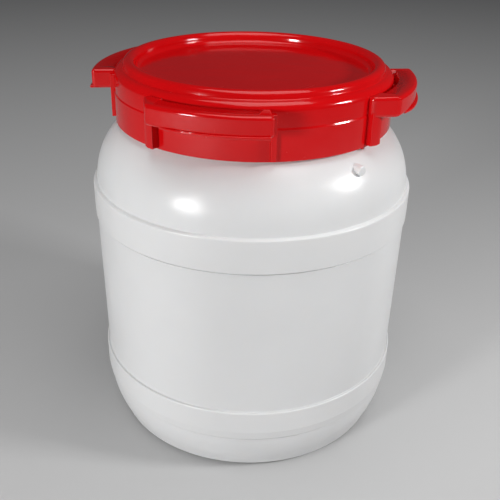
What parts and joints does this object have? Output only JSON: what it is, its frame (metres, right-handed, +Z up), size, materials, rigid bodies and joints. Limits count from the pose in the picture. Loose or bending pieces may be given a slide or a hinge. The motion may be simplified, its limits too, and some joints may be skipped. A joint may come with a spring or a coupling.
{
  "type": "screw-top fermenting bucket",
  "caption": "Wide-neck round plastic fermenting bucket: white drum with two raised hoops and a red screw lid with grip lugs.",
  "frame": {"origin": "centre of the drum's foot, on the floor", "axes": "+Z up along the drum's axis, out of the mouth; the front of the drum faces -Y and +X is to its right"},
  "size_m": [0.281, 0.281, 0.3354],
  "materials": {
    "drum_plastic": "semi-matte blow-moulded HDPE",
    "lid_plastic": "glossy injection-moulded plastic",
    "gasket_rubber": "satin moulded rubber"
  },
  "bodies": {
    "drum_body": {"drum": "drum_plastic"},
    "gasket_body": {"gasket": "gasket_rubber"},
    "lid_body": {"screw_lid": "lid_plastic"}
  },
  "joints": [
    {"name": "lid_lift", "type": "slide", "parent": "drum_body", "child": "gasket_body", "axis": [0, 0, 1], "range_m": [0, 0.05]},
    {"name": "lid_turn", "type": "hinge", "parent": "gasket_body", "child": "lid_body", "pos_m": [0, 0, 0], "axis": [0, 0, 1], "range_deg": [0, 1980]}
  ],
  "couplings": [
    {"joint": "lid_lift", "follows": "lid_turn", "m_per_rad": 0.0014324}
  ]
}
